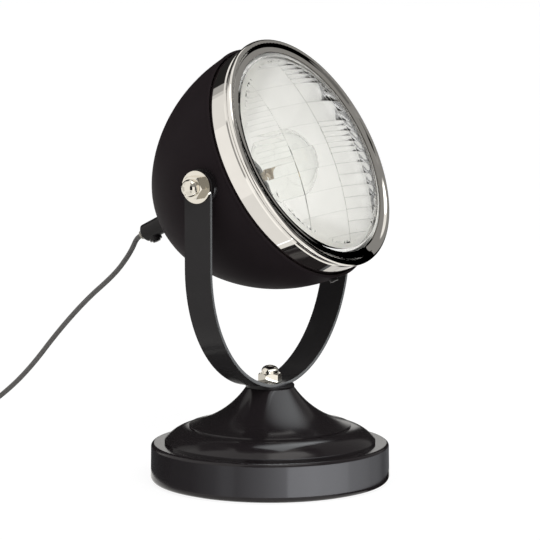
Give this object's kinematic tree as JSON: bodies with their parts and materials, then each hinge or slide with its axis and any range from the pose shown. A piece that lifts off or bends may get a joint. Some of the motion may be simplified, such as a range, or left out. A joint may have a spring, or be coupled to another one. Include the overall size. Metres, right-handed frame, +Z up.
{
  "type": "tabletop searchlight lamp",
  "caption": "Table lamp with a deep bowl head, chrome bezel and domed fluted glass lens, tilting in a flat-bar yoke that swivels on a weighted round base, with a braided cord.",
  "frame": {"origin": "centre of the flat underside of the base, on the table", "axes": "+Z up along the swivel axis; the lens faces -Y; +X and -X are the two ends of the tilt axis; the cord leaves towards +Y"},
  "size_m": [0.2034, 0.3898, 0.2862],
  "materials": {
    "black_enamel": "satin black stove enamel",
    "gloss_enamel": "gloss black stove enamel",
    "black_nut": "gloss black",
    "chrome": "polished chrome plate",
    "zinc_steel": "bright zinc plated steel",
    "spring_steel": "plain spring steel",
    "cast_iron": "as cast",
    "felt": "black wool felt",
    "fibre": "black vulcanised fibre",
    "pressed_glass": "clear pressed glass with flutes and prisms",
    "bulb_glass": "clear blown glass",
    "reflector": "spun and brightened aluminium",
    "black_moulding": "black moulded resin",
    "brass": "turned brass",
    "tungsten": "lamp wire on its glass stem",
    "gasket": "black rubber",
    "bush": "pale translucent nylon",
    "cord_braid": "grey braided textile over two cores",
    "cord_tie": "black band",
    "switch_plastic": "black moulded plastic, slightly glossy",
    "plug_plastic": "black moulded plastic",
    "pin_metal": "nickel plated brass"
  },
  "bodies": {
    "base": {"base_shell": "gloss_enamel", "base_pad": "felt", "base_plate": "zinc_steel", "base_weight": "cast_iron", "plate_screws": "zinc_steel", "distance_tube": "zinc_steel", "centre_bolt": "zinc_steel", "base_dome_nut": "chrome", "swivel_washer": "fibre"},
    "yoke": {"yoke_saddle": "black_nut", "yoke_strap": "black_enamel", "cord_lead": "cord_braid", "cord_link": "cord_braid", "cord_coil": "cord_braid", "cord_tie": "cord_tie", "cord_tail": "cord_braid", "switch_lower": "switch_plastic", "switch_upper": "switch_plastic", "switch_screws": "zinc_steel", "plug_body": "plug_plastic", "plug_pins": "pin_metal"},
    "head": {"bowl_shell": "black_enamel", "bezel_ring": "chrome", "bezel_screw": "black_nut", "lens": "pressed_glass", "lens_gasket": "gasket", "reflector": "reflector", "lens_clips": "spring_steel", "lampholder": "black_moulding", "holder_ring": "black_moulding", "bulb_cap": "brass", "bulb_glass": "bulb_glass", "bulb_filament": "tungsten", "pivot_spacers": "black_nut", "pivot_inner_pads": "black_moulding", "pivot_fibre_washers": "fibre", "pivot_washers": "chrome", "pivot_dome_nuts": "chrome", "pivot_bolts": "zinc_steel", "cord_grip_body": "black_nut", "cord_grip_screw": "black_nut", "cord_grip_bush": "bush", "grip_nipple": "brass", "nipple_locknut": "brass", "inner_lead": "cord_braid"},
    "rocker": {"switch_rocker": "switch_plastic"}
  },
  "joints": [
    {"name": "yoke_swivel", "type": "hinge", "parent": "base", "child": "yoke", "pos_m": [0, 0, 0.06], "axis": [0, 0, 1], "range_deg": [-175, 175]},
    {"name": "head_tilt", "type": "hinge", "parent": "yoke", "child": "head", "pos_m": [0, 0, 0.1992], "axis": [-1, 0, 0], "range_deg": [-85, 35], "deforming": ["cord_lead"]},
    {"name": "rocker_press", "type": "hinge", "parent": "yoke", "child": "rocker", "pos_m": [-0.096, 0.242, 0.0104], "axis": [1, 0, 0], "range_deg": [0, 14]}
  ]
}
